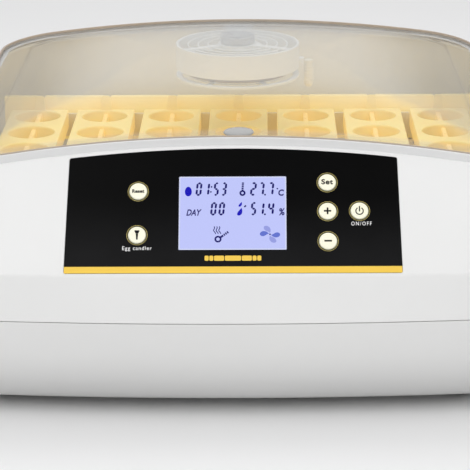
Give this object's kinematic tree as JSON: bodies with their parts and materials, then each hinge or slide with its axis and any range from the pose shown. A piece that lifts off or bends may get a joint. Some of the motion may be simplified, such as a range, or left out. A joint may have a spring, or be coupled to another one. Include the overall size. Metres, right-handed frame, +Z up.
{
  "type": "egg incubator",
  "caption": "Forced-air egg incubator: tub with tilting egg trays on a driven rack, water tray, and a lift-off upper housing with clear window, fan, heater and sloped control panel.",
  "frame": {"origin": "middle of the footprint, on the surface the feet stand on", "axes": "+X to the right seen from the front, +Y from the control panel to the back, +Z up"},
  "size_m": [0.49, 0.52, 0.2278],
  "materials": {
    "housing_white": "satin moulded ABS, white",
    "base_grey": "satin moulded ABS, light grey",
    "rim_grey": "satin moulded ABS, pale grey",
    "gasket_grey": "matt silicone",
    "window_clear": "clear polycarbonate, gloss",
    "knob_smoke": "blue-grey translucent moulding",
    "film_black": "printed polyester film, soft gloss",
    "lcd_glass": "backlit display, periwinkle blue",
    "lcd_backlight": "light guide and metal bezel",
    "button_cream": "cream moulded key",
    "tray_yellow": "yellow injection moulding, slightly translucent",
    "strip_cream": "diffusing lamp strip",
    "liner_ivory": "ivory moulding",
    "drive_ivory": "acetal",
    "motor_steel": "plated steel can",
    "heater_steel": "heating element sheath",
    "screw_steel": "plated screw",
    "impeller_grey": "moulded plastic",
    "rubber_black": "matt rubber",
    "plug_dark": "dark moulded plastic",
    "board_green": "solder-masked board"
  },
  "bodies": {
    "base": {"base_shell": "base_grey", "foot_front_left": "rubber_black", "foot_front_right": "rubber_black", "foot_rear_left": "rubber_black", "foot_rear_right": "rubber_black", "water_tray": "liner_ivory", "floor_grid": "liner_ivory", "filler_port": "base_grey", "rack_front_rail": "tray_yellow", "rack_rear_rail": "tray_yellow", "rack_left_rail": "tray_yellow", "rack_right_rail": "tray_yellow", "turner_motor": "motor_steel"},
    "lid": {"top_housing": "housing_white", "window_frame": "rim_grey", "window_gasket": "gasket_grey", "clear_window": "window_clear", "panel_overlay": "film_black", "lcd_lens": "lcd_glass", "lcd_module": "lcd_backlight", "control_board": "board_green", "electronics_cover": "base_grey", "cover_screw_1": "screw_steel", "cover_screw_2": "screw_steel", "cover_screw_3": "screw_steel", "cover_screw_4": "screw_steel", "power_inlet": "plug_dark", "fan_housing": "housing_white", "fan_motor": "motor_steel", "heater_ring": "heater_steel", "heat_guard": "rim_grey", "sensor_probe": "impeller_grey"},
    "impeller": {"fan_impeller": "impeller_grey"},
    "vent_knob": {"vent_knob": "knob_smoke"},
    "filler_plug": {"filler_plug": "plug_dark"},
    "drive_bar": {"drive_bar": "drive_ivory"},
    "drive_pinion": {"drive_pinion": "drive_ivory"},
    "tray_1": {"egg_tray_1": "tray_yellow", "candler_strip_1": "strip_cream"},
    "tray_2": {"egg_tray_2": "tray_yellow", "candler_strip_2": "strip_cream"},
    "tray_3": {"egg_tray_3": "tray_yellow", "candler_strip_3": "strip_cream"},
    "tray_4": {"egg_tray_4": "tray_yellow", "candler_strip_4": "strip_cream"},
    "tray_5": {"egg_tray_5": "tray_yellow", "candler_strip_5": "strip_cream"},
    "tray_6": {"egg_tray_6": "tray_yellow", "candler_strip_6": "strip_cream"},
    "tray_7": {"egg_tray_7": "tray_yellow", "candler_strip_7": "strip_cream"},
    "button_reset": {"button_reset": "button_cream"},
    "button_candler": {"button_candler": "button_cream"},
    "button_set": {"button_set": "button_cream"},
    "button_plus": {"button_plus": "button_cream"},
    "button_minus": {"button_minus": "button_cream"},
    "button_power": {"button_power": "button_cream"}
  },
  "joints": [
    {"name": "lid_lift", "type": "slide", "parent": "base", "child": "lid", "axis": [0, 0, 1], "range_m": [0, 0.25]},
    {"name": "tray_1_tilt", "type": "hinge", "parent": "base", "child": "tray_1", "pos_m": [-0.189, 0, 0.134], "axis": [0, 1, 0], "range_deg": [-45, 45]},
    {"name": "tray_2_tilt", "type": "hinge", "parent": "base", "child": "tray_2", "pos_m": [-0.126, 0, 0.134], "axis": [0, 1, 0], "range_deg": [-45, 45]},
    {"name": "tray_3_tilt", "type": "hinge", "parent": "base", "child": "tray_3", "pos_m": [-0.063, 0, 0.134], "axis": [0, 1, 0], "range_deg": [-45, 45]},
    {"name": "tray_4_tilt", "type": "hinge", "parent": "base", "child": "tray_4", "pos_m": [0, 0, 0.134], "axis": [0, 1, 0], "range_deg": [-45, 45]},
    {"name": "tray_5_tilt", "type": "hinge", "parent": "base", "child": "tray_5", "pos_m": [0.063, 0, 0.134], "axis": [0, 1, 0], "range_deg": [-45, 45]},
    {"name": "tray_6_tilt", "type": "hinge", "parent": "base", "child": "tray_6", "pos_m": [0.126, 0, 0.134], "axis": [0, 1, 0], "range_deg": [-45, 45]},
    {"name": "tray_7_tilt", "type": "hinge", "parent": "base", "child": "tray_7", "pos_m": [0.189, 0, 0.134], "axis": [0, 1, 0], "range_deg": [-45, 45]},
    {"name": "drive_bar_slide", "type": "slide", "parent": "base", "child": "drive_bar", "axis": [1, 0, 0], "range_m": [-0.0175, 0.0175]},
    {"name": "drive_pinion_turn", "type": "hinge", "parent": "base", "child": "drive_pinion", "pos_m": [0.1575, 0.205, 0.0864], "axis": [0, 1, 0], "range_deg": [-83, 83]},
    {"name": "fan_spin", "type": "hinge", "parent": "lid", "child": "impeller", "pos_m": [0, 0.135, 0.194], "axis": [0, 0, 1], "continuous": true},
    {"name": "vent_turn", "type": "hinge", "parent": "lid", "child": "vent_knob", "pos_m": [0.004, -0.1735, 0.2048], "axis": [0, 0, 1], "range_deg": [0, 90]},
    {"name": "filler_plug_pull", "type": "slide", "parent": "base", "child": "filler_plug", "axis": [-1, 0, 0], "range_m": [0, 0.03]},
    {"name": "reset_press", "type": "slide", "parent": "lid", "child": "button_reset", "axis": [0, 0.788, -0.6157], "range_m": [0, 0.001], "stiffness_N_per_m": 300},
    {"name": "candler_press", "type": "slide", "parent": "lid", "child": "button_candler", "axis": [0, 0.788, -0.6157], "range_m": [0, 0.001], "stiffness_N_per_m": 300},
    {"name": "set_press", "type": "slide", "parent": "lid", "child": "button_set", "axis": [0, 0.788, -0.6157], "range_m": [0, 0.001], "stiffness_N_per_m": 300},
    {"name": "plus_press", "type": "slide", "parent": "lid", "child": "button_plus", "axis": [0, 0.788, -0.6157], "range_m": [0, 0.001], "stiffness_N_per_m": 300},
    {"name": "minus_press", "type": "slide", "parent": "lid", "child": "button_minus", "axis": [0, 0.788, -0.6157], "range_m": [0, 0.001], "stiffness_N_per_m": 300},
    {"name": "power_press", "type": "slide", "parent": "lid", "child": "button_power", "axis": [0, 0.788, -0.6157], "range_m": [0, 0.001], "stiffness_N_per_m": 300}
  ],
  "couplings": [
    {"joint": "tray_2_tilt", "follows": "tray_1_tilt", "ratio": 1},
    {"joint": "tray_3_tilt", "follows": "tray_1_tilt", "ratio": 1},
    {"joint": "tray_4_tilt", "follows": "tray_1_tilt", "ratio": 1},
    {"joint": "tray_5_tilt", "follows": "tray_1_tilt", "ratio": 1},
    {"joint": "tray_6_tilt", "follows": "tray_1_tilt", "ratio": 1},
    {"joint": "tray_7_tilt", "follows": "tray_1_tilt", "ratio": 1},
    {"joint": "drive_bar_slide", "follows": "tray_1_tilt", "m_per_rad": -0.022},
    {"joint": "drive_pinion_turn", "follows": "tray_1_tilt", "ratio": -1.8333}
  ]
}
